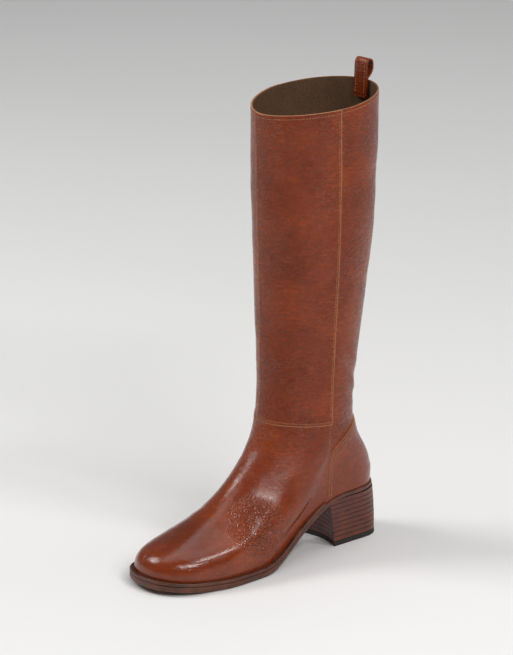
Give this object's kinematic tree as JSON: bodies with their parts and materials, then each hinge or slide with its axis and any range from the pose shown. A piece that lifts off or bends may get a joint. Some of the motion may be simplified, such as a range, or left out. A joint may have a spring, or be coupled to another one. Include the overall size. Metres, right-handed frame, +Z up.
{
  "type": "knee-high boot",
  "caption": "Knee-high leather boot for the left foot with a round-square toe, low stacked block heel, welted sole, inner side zip and pull loop.",
  "frame": {"origin": "on the floor, in the contact face of the heel's top piece", "axes": "+X to the toe, +Y to the outer (lateral) side of this left boot, +Z up"},
  "size_m": [0.2635, 0.111, 0.4369],
  "materials": {
    "upper_leather": "lightly grained, waxed, semi-gloss",
    "lining": "matt",
    "sole_edge": "burnished edge",
    "stacked_heel": "stacked layers, burnished",
    "heel_rubber": "matt",
    "zip_tape": "woven tape with closed coil",
    "zip_metal": "aged"
  },
  "bodies": {
    "boot": {"upper": "upper_leather", "heel_counter": "upper_leather", "insole": "lining", "welt": "sole_edge", "outsole": "sole_edge", "heel_stack": "stacked_heel", "heel_top_piece": "heel_rubber", "zip_tape": "zip_tape", "zip_slider": "zip_metal", "pull_loop": "upper_leather"},
    "pull_tab": {"zip_pull_tab": "zip_metal"}
  },
  "joints": [
    {"name": "tab_swing", "type": "hinge", "parent": "boot", "child": "pull_tab", "pos_m": [0.03677, -0.05683, 0.40034], "axis": [-0.9891, -0.1474, 0], "range_deg": [-5, 150]}
  ]
}
